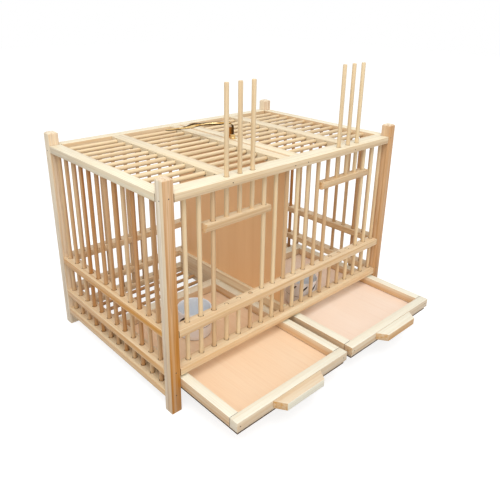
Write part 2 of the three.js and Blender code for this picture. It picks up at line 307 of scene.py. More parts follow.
def finishWood(piece, along, heart, body, node, finishes, pith=bench["pith"]):
    giveGrain(piece, along, pith)
    if heart:
        giveHeartwoodAndShade(piece, heart)
        smoothSides(piece)
    finishPiece(piece, body, node, finishes)


# finishes: colours are written as sRGB, 0 to 255
def tint(red, green, blue):
    shares = [value / 255 for value in (red, green, blue)]
    linear = [v / 12.92 if v <= 10 / 255 else ((v + 0.055) / 1.055) ** 2.4 for v in shares]
    return (*linear, 1.0)


def feed(tree, node, values):  # sockets are joined to the node's inputs, other values are set
    for name, value in values.items():
        if isinstance(value, bpy.types.NodeSocket):
            tree.links.new(value, node.inputs[name])
        else:
            node.inputs[name].default_value = value


def addNode(tree, kind, values, **settings):
    node = tree.nodes.new("ShaderNode" + kind)
    for key, value in settings.items():
        setattr(node, key, value)
    feed(tree, node, values)
    return node


def mathNode(tree, operation, *values, clamp=False):
    node = addNode(tree, "Math", dict(enumerate(values)), operation=operation, use_clamp=clamp)
    return node.outputs[0]


def mixColour(tree, share, first, second):
    return addNode(tree, "Mix", {0: share, 6: first, 7: second}, data_type="RGBA").outputs[2]


def stretched(tree, vector, scale):
    return addNode(tree, "VectorMath", {0: vector, 1: scale}, operation="MULTIPLY").outputs[0]


def noiseOn(tree, vector, scale, detail=2.0, rough=0.5):
    values = {"Vector": vector, "Scale": scale, "Detail": detail, "Roughness": rough}
    return addNode(tree, "TexNoise", values).outputs["Fac"]


def spreadOut(tree, value, low, high):  # low to high becomes 0 to 1
    values = {"Value": value, "From Min": low, "From Max": high}
    return addNode(tree, "MapRange", values, clamp=True).outputs["Result"]


def objectPlace(tree):
    return addNode(tree, "TexCoord", {}).outputs["Object"]


def bumpInto(tree, shader, height, strength, distance):
    values = {"Strength": strength, "Distance": distance * mm, "Height": height}
    feed(tree, shader, {"Normal": addNode(tree, "Bump", values).outputs["Normal"]})


def startGroup(name, inputs, outputs):
    group = bpy.data.node_groups.new(name, "ShaderNodeTree")
    for inOut, sockets in (("INPUT", inputs), ("OUTPUT", outputs)):
        for label, kind in sockets.items():
            group.interface.new_socket(name=label, in_out=inOut, socket_type="NodeSocket" + kind)
    return group, group.nodes.new("NodeGroupInput").outputs, group.nodes.new("NodeGroupOutput")


timber = {"wander": (30, 30, 5), "rings": (1, 1, 0.06), "fibre": (620, 620, 16), "streak": (210, 210, 4),
          "wave": {"Distortion": 1.4, "Detail": 1.0, "Detail Scale": 0.6},
          "lateSpread": (0.35, 1.0), "toneSpread": (0.3, 0.72), "fibreSpread": (0.5, 0.82),
          "streakSpread": (0.54, 0.8), "heartwoodAndShadeStreak": (1.1, 0.25), "rough": (0.2, 0.38),
          "fibreHeight": 0.7, "lateHeight": 0.3, "bump": (0.25, 0.12), "gloss": 0.45}


def buildTimberFigure():
    tree, given, end = startGroup("timberFigure", {
        "Grain": "Vector", "Pale": "Color", "Warm": "Color", "Dark": "Color", "Rings": "Float",
        "Ring Strength": "Float", "Tone Strength": "Float", "Fibre Strength": "Float",
        "Heart": "Float", "Heartwood And Shade Tint": "Color",
    }, {"Color": "Color", "Roughness": "Float", "Height": "Float"})

    def calc(operation, *values, clamp=False):
        return mathNode(tree, operation, *values, clamp=clamp)

    def noiseAlong(stretch, detail, rough=0.5):
        return noiseOn(tree, stretched(tree, given["Grain"], timber[stretch]), 1.0, detail, rough)

    rings = addNode(tree, "TexWave", {
        "Vector": stretched(tree, given["Grain"], timber["rings"]), "Scale": given["Rings"],
        **timber["wave"],
    }, wave_type="RINGS", rings_direction="Z", wave_profile="SAW")
    late = spreadOut(tree, rings.outputs["Fac"], *timber["lateSpread"])  # darker at each ring's end
    tone = spreadOut(tree, noiseAlong("wander", 2.0), *timber["toneSpread"])  # the tree's own wobble
    fibre = noiseAlong("fibre", 3.0, 0.6)
    streak = noiseAlong("streak", 2.0)
    warmMask = calc("ADD", calc("MULTIPLY", late, given["Ring Strength"]),
                    calc("MULTIPLY", tone, given["Tone Strength"]), clamp=True)
    fibreMask, streakMask = (
        calc("MULTIPLY", spreadOut(tree, value, *timber[spread]), given["Fibre Strength"])
        for value, spread in ((fibre, "fibreSpread"), (streak, "streakSpread")))
    darkMask = calc("MAXIMUM", fibreMask, streakMask, clamp=True)
    # the browning, heartwood and painted shade, uneven along the streaks
    uneven = calc("MULTIPLY_ADD", streak, *timber["heartwoodAndShadeStreak"])
    heartwoodAndShadeMask = calc("MULTIPLY", given["Heart"], uneven, clamp=True)
    colour = mixColour(tree, warmMask, given["Pale"], given["Warm"])
    colour = mixColour(tree, heartwoodAndShadeMask, colour, given["Heartwood And Shade Tint"])
    feed(tree, end, {
        "Color": mixColour(tree, darkMask, colour, given["Dark"]),
        "Roughness": calc("MULTIPLY_ADD", fibre, *timber["rough"]),
        "Height": calc("ADD", calc("MULTIPLY", fibre, timber["fibreHeight"]),
                       calc("MULTIPLY", late, timber["lateHeight"]))})
    return tree


plies = {"band": 0.25, "speck": 420, "speckSpread": (0.2, 0.75), "bandHeight": -0.4,
         "shader": {"Roughness": 0.75, "Specular IOR Level": 0.2}, "bump": (0.4, 0.15)}


def buildPlyLayers():
    tree, given, end = startGroup("plyLayers", {
        "Across": "Float", "Grain": "Vector", "Ply": "Float", "Pale": "Color", "Dark": "Color",
    }, {"Color": "Color", "Height": "Float"})
    turns = mathNode(tree, "DIVIDE", given["Across"], given["Ply"])
    wave = mathNode(tree, "SINE", mathNode(tree, "MULTIPLY", turns, math.pi))
    band = spreadOut(tree, wave, -plies["band"], plies["band"])
    speck = noiseOn(tree, stretched(tree, given["Grain"], [plies["speck"]] * 3), 1.0, 3.0, 0.6)
    mask = mathNode(tree, "MULTIPLY", band, spreadOut(tree, speck, *plies["speckSpread"]))
    feed(tree, end, {
        "Color": mixColour(tree, mask, given["Pale"], given["Dark"]),
        "Height": mathNode(tree, "ADD", speck, mathNode(tree, "MULTIPLY", band, plies["bandHeight"]))})
    return tree


timberFigure = buildTimberFigure()
plyLayers = buildPlyLayers()


def freshMaterial(name):
    material = bpy.data.materials.new(name)
    material.use_nodes = True
    return material, material.node_tree, material.node_tree.nodes["Principled BSDF"]


def makeTimber(name, look):
    material, tree, shader = freshMaterial(name)
    values = {key: tint(*value) if isinstance(value, tuple) else value
              for key, value in look.items() if key != "gloss"}
    grain = addNode(tree, "Attribute", {}, attribute_name="grain")
    values["Grain"] = grain.outputs["Vector"]
    if "Heartwood And Shade Tint" in look:
        heart = addNode(tree, "Attribute", {}, attribute_name="heart")
        values["Heart"] = heart.outputs["Fac"]
    figure = addNode(tree, "Group", values, node_tree=timberFigure).outputs
    feed(tree, shader, {"Base Color": figure["Color"], "Roughness": figure["Roughness"],
                        "Specular IOR Level": look.get("gloss", timber["gloss"])})
    bumpInto(tree, shader, figure["Height"], *timber["bump"])
    return material


# each wood's tint for heartwood also colours the shade painted on faces turned from the light
timberLooks = {
    "postPine": {"Pale": (249, 237, 214), "Warm": (232, 204, 156), "Dark": (142, 92, 42),
                 "Heartwood And Shade Tint": (200, 130, 30), "Rings": 96.0, "Ring Strength": 0.45,
                 "Tone Strength": 0.3, "Fibre Strength": 0.62},
    "railPine": {"Pale": (247, 238, 212), "Warm": (235, 211, 166), "Dark": (168, 126, 76),
                 "Heartwood And Shade Tint": (210, 144, 42), "Rings": 84.0, "Ring Strength": 0.36,
                 "Tone Strength": 0.32, "Fibre Strength": 0.42},
    "stickBirch": {"Pale": (242, 221, 182), "Warm": (230, 198, 148), "Dark": (166, 122, 76),
                   "Heartwood And Shade Tint": (178, 118, 52), "Rings": 50.0, "Ring Strength": 0.2,
                   "Tone Strength": 0.4, "Fibre Strength": 0.42, "gloss": 0.6},
    "trayPine": {"Pale": (243, 240, 223), "Warm": (236, 221, 188), "Dark": (192, 154, 108),
                 "Heartwood And Shade Tint": (206, 148, 66), "Rings": 76.0, "Ring Strength": 0.24,
                 "Tone Strength": 0.25, "Fibre Strength": 0.28},
    "leftTrayPly": {"Pale": (246, 218, 186), "Warm": (245, 208, 170), "Dark": (226, 178, 134),
                    "Rings": 12.0, "Ring Strength": 0.1, "Tone Strength": 0.35, "Fibre Strength": 0.3},
    "rightTrayPly": {"Pale": (250, 230, 212), "Warm": (246, 220, 198), "Dark": (232, 196, 166),
                     "Rings": 12.0, "Ring Strength": 0.1, "Tone Strength": 0.35, "Fibre Strength": 0.25},
    "dividerPly": {"Pale": (250, 205, 153), "Warm": (236, 185, 129), "Dark": (216, 158, 104),
                   "Rings": 14.0, "Ring Strength": 0.06, "Tone Strength": 0.3, "Fibre Strength": 0.12},
}
finish = {name: makeTimber(name, look) for name, look in timberLooks.items()}

plyEdgeLooks = {
    "trayPlyEdge": {"axis": "Z", "ply": 1.3, "pale": (250, 236, 210), "dark": (228, 200, 160)},
    "dividerEdge": {"axis": "X", "ply": 1.33, "pale": (226, 186, 136), "dark": (158, 112, 70)},
}


def makePlyEdge(name, look):
    material, tree, shader = freshMaterial(name)
    place = objectPlace(tree)
    across = addNode(tree, "SeparateXYZ", {0: place}).outputs[look["axis"]]
    values = {"Across": across, "Grain": place, "Ply": look["ply"] * mm,
              "Pale": tint(*look["pale"]), "Dark": tint(*look["dark"])}
    layers = addNode(tree, "Group", values, node_tree=plyLayers).outputs
    feed(tree, shader, {"Base Color": layers["Color"], **plies["shader"]})
    bumpInto(tree, shader, layers["Height"], *plies["bump"])
    return material


speckLooks = {  # the dark wood finish is painted shade on the walls of drilled holes, on the edges of joints, under the tray bars and along the tray boards' lower edges
    "jointWood": {"scale": 700.0, "spread": (0.35, 0.7), "pale": (104, 74, 48), "dark": (70, 46, 28),
                  "shader": {"Roughness": 0.9, "Specular IOR Level": 0.1}, "bump": (0.3, 0.1)},
    "nailSteel": {"scale": 900.0, "spread": (0.4, 0.7), "pale": (92, 84, 76), "dark": (70, 52, 40),
                  "shader": {"Metallic": 0.7, "Roughness": 0.5}},
}


def makeSpecked(name, look):
    material, tree, shader = freshMaterial(name)
    speck = noiseOn(tree, objectPlace(tree), look["scale"], 3.0)
    mask = spreadOut(tree, speck, *look["spread"])
    colour = mixColour(tree, mask, tint(*look["pale"]), tint(*look["dark"]))
    feed(tree, shader, {"Base Color": colour, **look["shader"]})
    if "bump" in look:
        bumpInto(tree, shader, speck, *look["bump"])
    return material


brass = {"cloud": 70.0, "fine": 900.0, "spread": (0.4, 0.62), "wornRough": 0.2, "bump": (0.08, 0.05)}
brassLooks = {  # bright, dull, roughness
    "wornBrass": ((232, 204, 150), (188, 148, 88), 0.26),
    "brownBrass": ((204, 142, 66), (156, 102, 44), 0.36),
    # the darkest brass is painted shade and dark reflection on the arm's shank, underside, top ridge and
    # leaf edge
    "agedBrass": ((96, 70, 36), (50, 34, 18), 0.26),
}


def makeBrass(name, look):
    bright, dull, rough = look
    material, tree, shader = freshMaterial(name)
    place = objectPlace(tree)
    worn = spreadOut(tree, noiseOn(tree, place, brass["cloud"]), *brass["spread"])
    feed(tree, shader, {"Base Color": mixColour(tree, worn, tint(*bright), tint(*dull)), "Metallic": 1.0,
                        "Roughness": mathNode(tree, "MULTIPLY_ADD", worn, brass["wornRough"], rough)})
    bumpInto(tree, shader, noiseOn(tree, place, brass["fine"]), *brass["bump"])
    return material


china = {"outside": (246, 243, 244), "inside": (243, 249, 255), "ink": (30, 30, 36),
         "cloud": (222, 226, 234),
         "centres": {"leftChina": (-141.1, 0.0, 41.9), "rightChina": (79.0, -51.5, 41.9)},
         "wall": (28.9, 29.5), "strokes": 9, "strokeTurn": 99.75, "strokeRound": 30, "strokeHeight": 39.5,
         "strokeHalf": (3.2, 8.5), "strokeLean": 0.9, "strokeEdge": (1.35, 0.95), "bristle": 520.0,
         "ragged": 0.9, "lineHeight": 24.0, "lineEdge": (0.55, 0.35), "cloudScale": 60.0,
         "cloudSpread": (0.35, 0.7), "cloudShare": 0.25, "ripple": 90.0, "bump": (0.08, 0.3),
         "shader": {"Roughness": 0.12, "Coat Weight": 0.4, "Coat Roughness": 0.06}}


def makeChina(name, centre):
    material, tree, shader = freshMaterial(name)

    def calc(operation, *values):
        return mathNode(tree, operation, *values)

    def squares(a, b):
        return calc("ADD", calc("MULTIPLY", a, a), calc("MULTIPLY", b, b))

    shift = addNode(tree, "Mapping", {"Vector": objectPlace(tree), "Location": [-v * mm for v in centre]})
    place = shift.outputs["Vector"]
    x, y, z = addNode(tree, "SeparateXYZ", {0: stretched(tree, place, [1 / mm] * 3)}).outputs
    outer = spreadOut(tree, calc("SQRT", squares(x, y)), *china["wall"])
    # a row of leaning brush strokes round the wall, and a thin line below them
    turns = calc("DIVIDE", calc("ARCTAN2", y, x), 2 * math.pi / china["strokes"])
    cell = calc("SUBTRACT", calc("FRACT", calc("ADD", turns, china["strokeTurn"])), 0.5)
    aside = calc("MULTIPLY", cell, 2 * math.pi * china["strokeRound"] / china["strokes"])
    rise = calc("SUBTRACT", z, china["strokeHeight"])
    lean = calc("MULTIPLY_ADD", rise, -china["strokeLean"], aside)
    halfWide, halfTall = china["strokeHalf"]
    away = squares(calc("DIVIDE", lean, halfWide), calc("DIVIDE", rise, halfTall))
    brush = noiseOn(tree, place, china["bristle"], 3.0, 0.6)
    stroke = spreadOut(tree, calc("MULTIPLY_ADD", brush, china["ragged"], away), *china["strokeEdge"])
    offLine = calc("ABSOLUTE", calc("SUBTRACT", z, china["lineHeight"]))
    line = spreadOut(tree, offLine, *china["lineEdge"])
    inkMask = calc("MULTIPLY", calc("MAXIMUM", stroke, line), outer)
    cloud = spreadOut(tree, noiseOn(tree, place, china["cloudScale"]), *china["cloudSpread"])
    clouded = calc("MULTIPLY", cloud, calc("MULTIPLY", outer, china["cloudShare"]))
    glaze = mixColour(tree, outer, tint(*china["inside"]), tint(*china["outside"]))
    glaze = mixColour(tree, clouded, glaze, tint(*china["cloud"]))
    glaze = mixColour(tree, inkMask, glaze, tint(*china["ink"]))
    feed(tree, shader, {"Base Color": glaze, **china["shader"]})
    bumpInto(tree, shader, noiseOn(tree, place, china["ripple"], 1.0), *china["bump"])
    return material


for maker, looks in ((makePlyEdge, plyEdgeLooks), (makeSpecked, speckLooks), (makeBrass, brassLooks),
                     (makeChina, china["centres"])):
    finish.update({name: maker(name, look) for name, look in looks.items()})
print("materials made")

# four square posts, their top edges planed off
# the browning shares paint shade on the post faces turned from the light, and browner towards the foot,
# as well as heartwood
posts = {"chamfer": 2.4, "ease": 0.6, "pith": (10, 30), "heart": {
    "postFrontLeft": {"front": (0.7, 1.2), "left": (0.0, 0.4), "right": (0.4, 0.7), "up": (0.3, 0.3)},
    "postBackLeft": {"front": (0.25, 0.25), "left": (0.05, 0.15), "right": (0.6, 0.6)},
    "postFrontRight": {"front": (0.9, 0.95), "left": (0.55, 0.8), "right": (0.4, 0.5)},
    "other": {"front": (0.4, 0.5), "left": (0.2, 0.3), "right": (0.8, 0.8), "back": (0.3, 0.5)}}}


def makePost(node):
    post, low, high = blockFor(node)
    pickFaces(post, facing("up"))
    shrink = [1 - 2 * posts["chamfer"] / (b - a) for a, b in zip(low[:2], high[:2])]
    bpy.ops.transform.translate(value=(0, 0, -posts["chamfer"] * mm))
    growFaces((0, 0, posts["chamfer"]), [*middleOf(low, high)[:2], high[2]], (*shrink, 1))
    leaveEdit()
    easeEdges(post, posts["ease"])
    heart = posts["heart"].get(post.name, posts["heart"]["other"])
    finishWood(post, "z", heart, "cage", node, ["postPine"], posts["pith"])


for depth in ("front", "back"):
    for hand in hands:
        makePost(f"post_{depth}_{hand}")
print("posts made")

# rails: cross rails reach between the posts, side rails run between them
rails = {"ease": 0.5, "innerEnd": 243.7, "markedEnd": 243, "endFacing": 0.3,
         "postFace": {"front": -85.1, "back": 229.9}, "hole": 4.3, "tightHole": 3.8,
         # the sizes of a rail whose node holds sticks too
         "crossX": (-246.2, 246.2), "crossY": {"front": (-102.6, -82.6), "back": (227.4, 247.4)},
         "sideX": (244.0, 264.0), "sideY": (-84.8, 229.6), "middleZ": (129.0, 141.0),
         "bottomZ": (24.0, 36.0),
         "drilled": {"top": (330, 360), "middle": (120, 150), "lower": (55, 85), "frontLower": (69.3, 85),
                     "bottom": (30.3, 45)},
         # browning shares: painted shade, more on rails and faces that stand in shade, as well as
         # heartwood
         "heart": {"frontTopRail": 0.38, "frontMiddleRail": 0.58, "frontLowerRail": 0.6,
                   "leftTopRail": 0.12, "leftMiddleRail": 1.1, "leftLowerRail": 0.9,
                   "leftBottomRail": 0.8, "other": 0.5},
         "upperHeartwoodAndShade": 0.42}
rows = {
    "front": {"count": 19, "first": -222.3, "last": 240.2, "middle": -89.9, "low": 69.3, "high": 344.7,
              "shortOnes": (3, 4, 5, 13, 14, 15), "shortHigh": 141.25},
    "back": {"count": 19, "first": -222.3, "last": 240.2, "middle": 234.7, "low": 30.3, "high": 344.7},
    "side": {"count": 12, "first": -62.2, "last": 219.8, "middle": 254.0, "low": 30.3, "high": 344.7},
    "roof": {"count": 12, "first": -67.4, "last": 209.8, "middle": 345.0, "outer": 248.7,
             "inner": {"left": -8.0, "right": 17.2}},
    "floor": {"count": 12, "first": -75.2, "last": 206.8, "middle": 31.3, "outer": 248.7},
}
guidePlaces = {"left": (2, 6), "right": (12, 16)}
rodPlaces = {"left": (3, 4, 5), "right": (13, 14, 15)}


def rowPlaces(kind):
    row = rows[kind]
    step = (row["last"] - row["first"]) / (row["count"] - 1)
    return [row["first"] + step * i for i in range(row["count"])]


frontHoles = [(x, rows["front"]["middle"]) for x in rowPlaces("front")]
backHoles = [(x, rows["back"]["middle"]) for x in rowPlaces("back")]
sideHoles = {hand: [(side * rows["side"]["middle"], y) for y in rowPlaces("side")]
             for hand, side in (("left", -1), ("right", 1))}
rodHoles = [frontHoles[i] for hand in hands for i in rodPlaces[hand]]
shortHoles = [frontHoles[i] for i in rows["front"]["shortOnes"]]
longHoles = [place for place in frontHoles if place not in shortHoles]


def finishRail(rail, node, along, sides):
    share = rails["heart"].get(rail.name, rails["heart"]["other"])
    # the top rails' upper faces stay pale; the other rails get painted shade on top
    above = 0.0 if "Top" in rail.name else rails["upperHeartwoodAndShade"]
    heart = {**dict.fromkeys(sides, (share, share)), "up": (above, above)}
    finishWood(rail, along, heart, "cage", node, ["railPine", "jointWood"])


def makeCrossRail(node, holes=(), drilled=None, tight=()):
    depth = node.split("_")[0]
    low, high = boxOf(node)
    if node.endswith("sticks"):
        low, high = zip(rails["crossX"], rails["crossY"][depth], rails["middleZ"])
    inner, postFace = rails["innerEnd"], rails["postFace"][depth]
    rail = addBlock(nameFor(node), [-inner, *low[1:]], [inner, *high[1:]])
    splitAcross(rail, "y", postFace)
    for side in (-1, 1):  # the ends reach between the posts
        pickFaces(rail, lambda c, n: n.x * side > bench["facing"]
                  and (c.y < postFace) == (depth == "front"))
        growFaces((side * (high[0] - inner), 0, 0))
        leaveEdit()
    easeEdges(rail, rails["ease"])
    for places, radius in ((holes, rails["hole"]), (tight, rails["tightHole"])):
        if places:
            drill(rail, "z", places, radius, *rails["drilled"][drilled])
    finishRail(rail, node, "x", ("front", "back"))
    # painted shade on the rail ends at the posts and in the drilled holes
    markFaces(rail, 1, lambda c, n: abs(c.x) > rails["markedEnd"] and abs(n.x) > rails["endFacing"])
    markFaces(rail, 1, inHoles("z", [*holes, *tight], rails["hole"]))


def makeSideRail(node, drilled=None):
    hand = node.split("_")[0]
    low, high = boxOf(node)
    if node.endswith("sticks"):
        x = sorted(v if hand == "right" else -v for v in rails["sideX"])
        low, high = zip(x, rails["sideY"], rails["bottomZ" if "bottom" in node else "middleZ"])
    rail = addBlock(nameFor(node), low, high)
    easeEdges(rail, rails["ease"])
    if drilled:
        drill(rail, "z", sideHoles[hand], rails["hole"], *rails["drilled"][drilled])
    finishRail(rail, node, "y", hands)
    # painted shade in the drilled holes, or else on the rail's ends
    if drilled:
        markFaces(rail, 1, inHoles("z", sideHoles[hand], rails["hole"]))
    else:
        markFaces(rail, 1, lambda c, n: abs(n.y) > rails["endFacing"])


makeCrossRail("front_top_rail", rodHoles, "top")
makeCrossRail("front_middle_rail_and_sticks", longHoles, "middle", shortHoles)
makeCrossRail("front_lower_rail", frontHoles, "frontLower")
makeCrossRail("back_top_rail")
makeCrossRail("back_middle_rail_and_sticks", backHoles, "middle")
makeCrossRail("back_lower_rail", backHoles, "lower")
makeCrossRail("back_bottom_rail", backHoles, "bottom")
for hand in hands:
    makeSideRail(f"{hand}_top_rail")
    makeSideRail(f"{hand}_middle_rail_and_sticks", "middle")
    makeSideRail(f"{hand}_lower_rail", "lower")
makeSideRail("left_bottom_rail_and_floor_sticks", "bottom")
makeSideRail("right_bottom_rail", "bottom")
print("rails made")

# round sticks, one turned and the rest copied
stick = {"radius": 3.5, "sides": 20, "round": 1.1, "shoulderShare": 0.3, "pith": (6, 40),
         # brown: each stick's random browning, its range set darker for the rows that stand in shade
         # (painted shade)
         "brown": {"front": (0.0, 0.6), "back": (0.4, 1.0), "side": (0.45, 1.2), "floor": (0.7, 1.2),
                   "roof": (0.0, 0.12), "rod": (0.1, 0.25)},
         # painted shade on the undersides of level sticks
         "under": {"down": (1.3, 1.3)}}


def turnStick(length):  # stands on the origin, both ends rounded over
    radius, over = stick["radius"], stick["round"]
    shoulder = stick["shoulderShare"] * over
    middle = max(length / 3, over * 2)
    rise = [(radius - over, 0), (radius - shoulder, shoulder), (radius, over), (radius, middle)]
    fall = [(wide, length - height) for wide, height in reversed(rise)]
    piece = makeTurned("stick", stick["sides"], (0, 0, 0), rise + fall)
    smoothSides(piece, bench["smoothRound"])
    return piece


def placeStick(model, place, row, turn=None):
    twin = copyOf(model)
    giveGrain(twin, "z", stick["pith"])
    twin.location = inMetres(place)
    if turn:
        twin.rotation_euler = turn
    settle(twin)
    # level sticks get painted shade on their undersides
    giveHeartwoodAndShade(twin, stick["under"] if turn else {}, dice.uniform(*stick["brown"][row]))
    return twin


def finishRow(name, node, models, placed):
    for model in models:
        discard(model)
    finishPiece(joinAll(placed, name), "cage", node, ["stickBirch"])


def uprightRow(name, kind, places, node):
    row = rows[kind]
    shortOnes = row.get("shortOnes", ())
    models = [turnStick(row["high"] - row["low"])]
    if shortOnes:
        models.append(turnStick(row["shortHigh"] - row["low"]))
    placed = [placeStick(models[i in shortOnes], (*place, row["low"]), kind)
              for i, place in enumerate(places)]
    finishRow(name, node, models, placed)


def levelRow(name, kind, x0, x1, node):
    model = turnStick(x1 - x0)
    placed = [placeStick(model, (x0, y, rows[kind]["middle"]), kind, (0, math.pi / 2, 0))
              for y in rowPlaces(kind)]
    finishRow(name, node, [model], placed)


uprightRow("frontSticks", "front", frontHoles, "front_middle_rail_and_sticks")
uprightRow("backSticks", "back", backHoles, "back_middle_rail_and_sticks")
for hand in hands:
    uprightRow(f"{hand}Sticks", "side", sideHoles[hand], f"{hand}_middle_rail_and_sticks")
outer, inner = rows["roof"]["outer"], rows["roof"]["inner"]
levelRow("floorSticks", "floor", -rows["floor"]["outer"], rows["floor"]["outer"],
         "left_bottom_rail_and_floor_sticks")
levelRow("roofLeftSticks", "roof", -outer, inner["left"], "roof_left_bars_and_sticks")
levelRow("roofRightSticks", "roof", inner["right"], outer, "roof_right_bars_and_sticks")
print("sticks made")

# roof bars, the board between the trays, and the divider sheet
roof = {"y": (-73.8, 227.1), "z": (339.0, 351.0), "ease": 0.5,
        # painted shade on the bars' right sides, as well as heartwood
        "heart": {"left": (0.1, 0.1), "right": (0.4, 0.4), "up": (0.12, 0.12)},
        "bars": {"left": {"Crossbar": (-147.8, -124.3), "CentreBar": (-18.2, 2.3)},
                 "right": {"CentreBar": (6.9, 27.4), "Crossbar": (134.4, 157.9)}}}
roofHoles = [(y, rows["roof"]["middle"]) for y in rowPlaces("roof")]
for hand, bars in roof["bars"].items():
    for kind, span in bars.items():
        bar = addBlock(hand + kind, *zip(span, roof["y"], roof["z"]))
        easeEdges(bar, roof["ease"])
        start, stop = span[0] - bench["overrun"], span[1] + bench["overrun"]
        if kind == "CentreBar":  # its sockets end beside the slot
            start, stop = (start, inner["left"]) if hand == "left" else (inner["right"], stop)
        drill(bar, "x", roofHoles, rails["hole"], start, stop)
        finishWood(bar, "y", roof["heart"], "cage", f"roof_{hand}_bars_and_sticks",
                   ["railPine", "jointWood"])
        # painted shade in the drilled holes
        markFaces(bar, 1, inHoles("x", roofHoles, rails["hole"]))

board = {"groove": (2.3, 6.9), "grooveDeep": 2.0, "ease": 0.5,
         "heart": {"left": (0.4, 0.4), "right": (0.4, 0.4)}}
centreBoard, low, high = blockFor("centre_board")
groove = addBlock("groove", *zip(board["groove"], (low[1] - bench["overrun"], high[1] + bench["overrun"]),
                                 (high[2] - board["grooveDeep"], high[2] + bench["overrun"])))
cutWith(centreBoard, groove)
easeEdges(centreBoard, board["ease"])
finishWood(centreBoard, "y", board["heart"], "cage", "centre_board", ["railPine"])

plySheet = {"ease": {"divider": 0.35, "tray": 0.4}, "pith": {"divider": (60, 120), "tray": (80, 160)},
            "edgeLevel": 0.6}
dividerSheet = addBlock("dividerSheet", *boxOf("divider"))
easeEdges(dividerSheet, plySheet["ease"]["divider"], 1)
finishWood(dividerSheet, "z", None, "divider", "divider", ["dividerPly", "dividerEdge"],
           plySheet["pith"]["divider"])
markFaces(dividerSheet, 1, lambda c, n: abs(n.x) < plySheet["edgeLevel"])
print("roof, board and divider made")

# lift doors: a bar on two guide sticks, with three rods through the top rail
doorBars = {"slant": 3.5, "lean": 2.6, "ease": 0.6, "hole": 4.1,
            # the browning shares paint the bar's shade, as well as heartwood
            "heart": {"front": (0.62, 0.62), "up": (0.42, 0.42), "back": (0.5, 0.5), "left": (0.7, 0.7)}}


def makeDoor(hand):
    body, node = f"{hand}_door", f"{hand}_door_bar"
    bar, low, high = blockFor(node)
    middle = middleOf(low, high)
    pickFaces(bar, facing("up"))  # shorter at the top
    length = high[0] - low[0]
    bpy.ops.transform.resize(value=((length - 2 * doorBars["slant"]) / length, 1, 1),
                             center_override=inMetres(middle))
    leaveEdit()
    pickEdges(bar, lambda a, b: max(a.z, b.z) < middle[2] and max(a.y, b.y) < middle[1])
    bpy.ops.transform.translate(value=(0, doorBars["lean"] * mm, 0))  # the front leans back at the foot
    leaveEdit()
    easeEdges(bar, doorBars["ease"])
    guides = [frontHoles[i] for i in guidePlaces[hand]]
    drill(bar, "z", guides, doorBars["hole"], low[2] - bench["overrun"], high[2] + bench["overrun"])
    finishWood(bar, "x", doorBars["heart"], body, node, ["railPine", "jointWood"])
    # painted shade in the guide holes
    markFaces(bar, 1, inHoles("z", guides, doorBars["hole"]))
    for number, place in enumerate(rodPlaces[hand], 1):
        rodNode = f"{hand}_door_rod_{number}"
        foot, tip = boxOf(rodNode)
        model = turnStick(tip[2] - foot[2])
        rod = placeStick(model, (*frontHoles[place], foot[2]), "rod")
        rod.name = nameFor(rodNode)
        discard(model)
        finishPiece(rod, body, rodNode, ["stickBirch"])


for hand in hands:
    makeDoor(hand)
print("doors made")

# trays, pulled out
trays = {"ease": 0.6, "pullEase": 1.0, "pullTipShare": 80 / 104, "underside": -0.3,
         "paintedShadeEdge": 2.7,  # how high up the board's edge the painted shade reaches
         # the bar and pull shares paint shade on faces turned from the light, as well as heartwood
         "barHeart": {"front": (0.5, 0.6), "left": (0.65, 0.8), "right": (0.5, 0.5), "back": (0.5, 0.5)},
         "endHeartwoodAndShade": {"left": 0.25, "right": 0.8},  # the left end of each tray's front bar
         "pullHeart": {"left": {"up": (0.5, 0.5), "left": (1.1, 1.1), "right": (0.3, 0.3)},
                       "right": {"front": (0.9, 1.2), "left": (1.1, 1.1), "right": (0.6, 0.6)}}}


def makeTrayBar(hand, part, along):
    node = f"{hand}_tray_{part}_bar"
    bar = blockFor(node)[0]
    easeEdges(bar, trays["ease"])
    heart = dict(trays["barHeart"])
    if part == "front":
        heart["left"] = (trays["endHeartwoodAndShade"][hand],) * 2
    finishWood(bar, along, heart, f"{hand}_tray", node, ["trayPine", "jointWood"])
    # painted shade under the bars and on the side bars' ends
    markFaces(bar, 1, lambda c, n: n.z < trays["underside"]
              or (along == "y" and abs(n.y) > bench["facing"]))


def makeTray(hand):
    body = f"{hand}_tray"
    for part, along in (("front", "x"), ("back", "x"), ("left", "y"), ("right", "y")):
        makeTrayBar(hand, part, along)
    sheet, low, high = blockFor(f"{hand}_tray_board")
    paintedShadeTop = low[2] + trays["paintedShadeEdge"]
    easeEdges(sheet, plySheet["ease"]["tray"], 1)
    splitAcross(sheet, "z", paintedShadeTop)
    finishWood(sheet, "y", None, body, f"{hand}_tray_board",
               [f"{hand}TrayPly", "trayPlyEdge", "jointWood"], plySheet["pith"]["tray"])
    markFaces(sheet, 1, lambda c, n: abs(n.z) < plySheet["edgeLevel"])
    # the board's lowest edge band gets painted shade
    markFaces(sheet, 2, lambda c, n: abs(n.z) < plySheet["edgeLevel"] and c.z < paintedShadeTop)
    pull, low, high = blockFor(f"{hand}_tray_pull")
    pickFaces(pull, facing("front"))
    bpy.ops.transform.resize(value=(trays["pullTipShare"], 1, 1),
                             center_override=inMetres(middleOf(low, high)))
    leaveEdit()
    easeEdges(pull, trays["pullEase"], 3)
    finishWood(pull, "x", trays["pullHeart"][hand], body, f"{hand}_tray_pull", ["trayPine"])


for hand in hands:
    makeTray(hand)
print("trays made")

